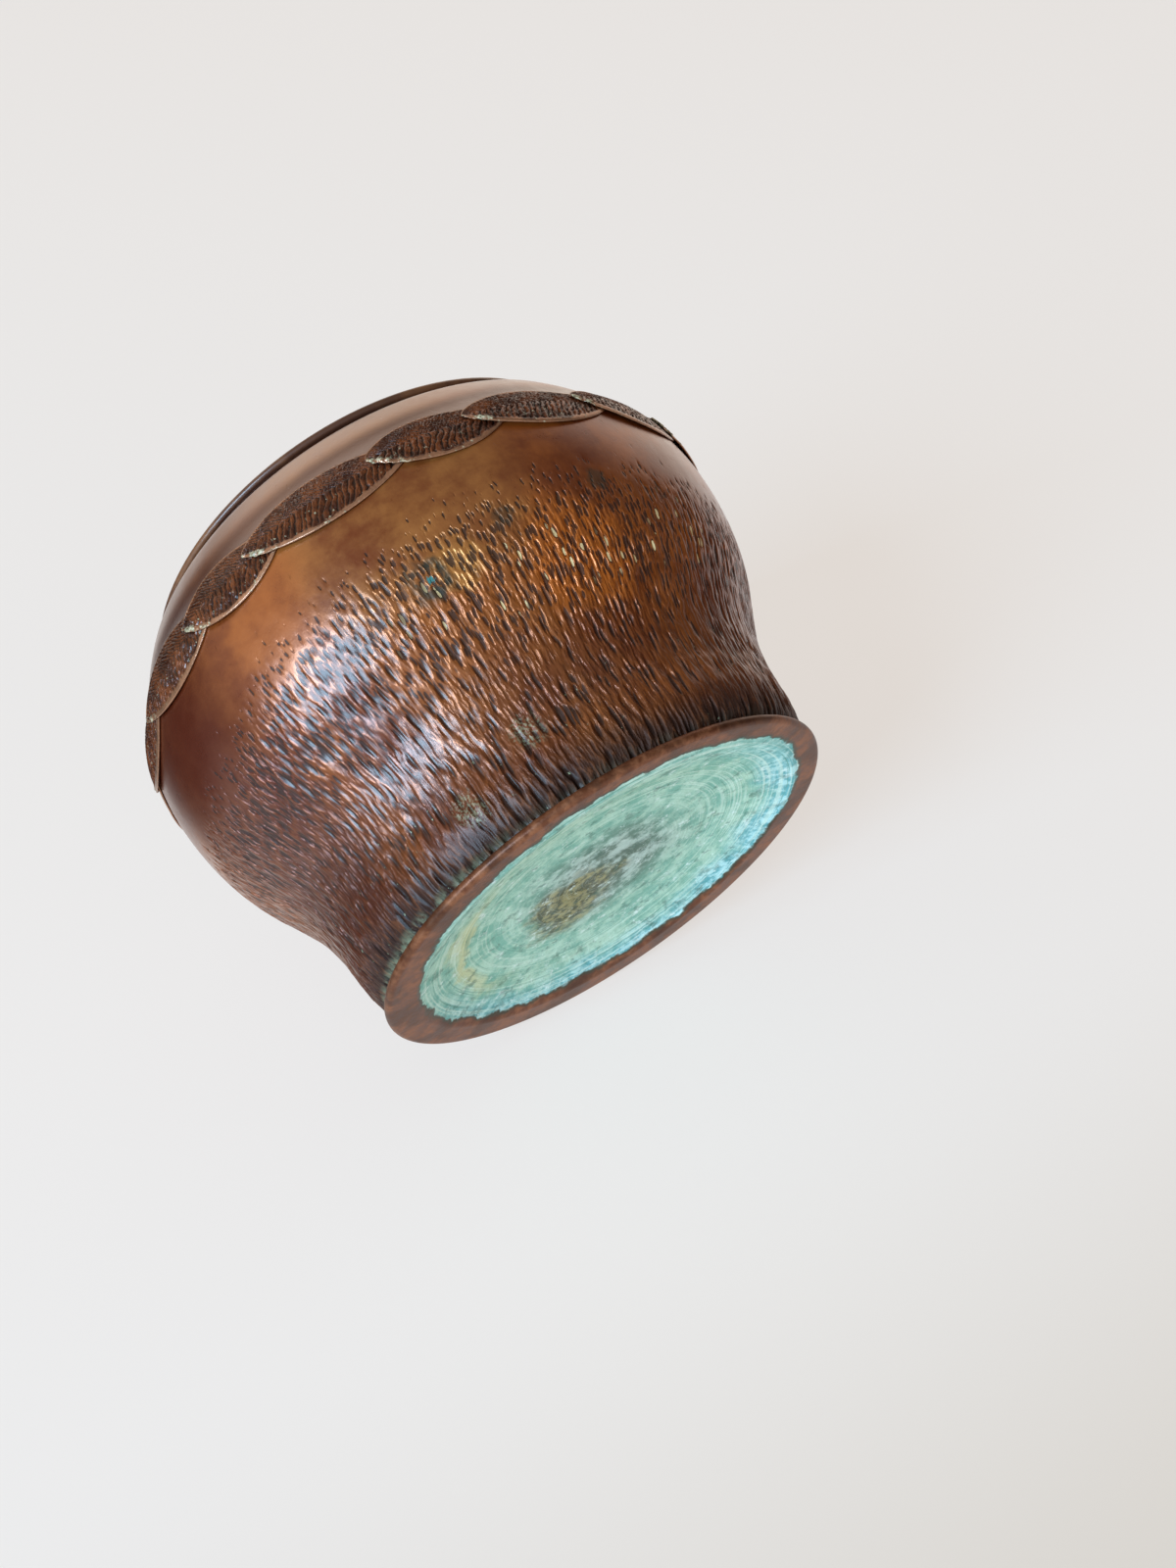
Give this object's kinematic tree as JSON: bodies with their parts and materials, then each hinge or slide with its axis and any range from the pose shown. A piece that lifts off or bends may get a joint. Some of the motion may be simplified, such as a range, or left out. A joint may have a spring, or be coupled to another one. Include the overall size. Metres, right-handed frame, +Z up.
{
  "type": "hammered copper bowl",
  "caption": "Round raised metal bowl with a hammered wall, a band of overlapping leaves on the shoulder, a narrow turned lip and a folded, dished base.",
  "frame": {"origin": "centre of the circle on which the foot ring rests, at the level of the resting face", "axes": "+Z up through the mouth along the bowl's axis; -Y is the side seen best, with the first leaf's tip 52 degrees round from -Y towards -X; the leaves follow one another from -X over -Y towards +X"},
  "size_m": [0.2025, 0.2026, 0.1405],
  "materials": {
    "hammered_copper": "waxed dark brown patina on hammered copper",
    "verdigris_copper": "blue-green verdigris crust inside a worn brown rim",
    "soft_solder": "dull grey tin solder",
    "brass_wire": "drawn wire",
    "leaf_copper": "chased and darkened copper with rubbed edges"
  },
  "bodies": {
    "root": {"bowl_body": "hammered_copper", "base_plate": "verdigris_copper", "seam_solder": "soft_solder", "mouth_wire": "brass_wire", "leaf_01": "leaf_copper", "leaf_02": "leaf_copper", "leaf_03": "leaf_copper", "leaf_04": "leaf_copper", "leaf_05": "leaf_copper", "leaf_06": "leaf_copper", "leaf_07": "leaf_copper", "leaf_08": "leaf_copper", "leaf_09": "leaf_copper", "leaf_10": "leaf_copper", "leaf_11": "leaf_copper", "leaf_12": "leaf_copper", "leaf_13": "leaf_copper", "leaf_14": "leaf_copper", "leaf_15": "leaf_copper", "leaf_16": "leaf_copper", "leaf_17": "leaf_copper"}
  },
  "joints": []
}
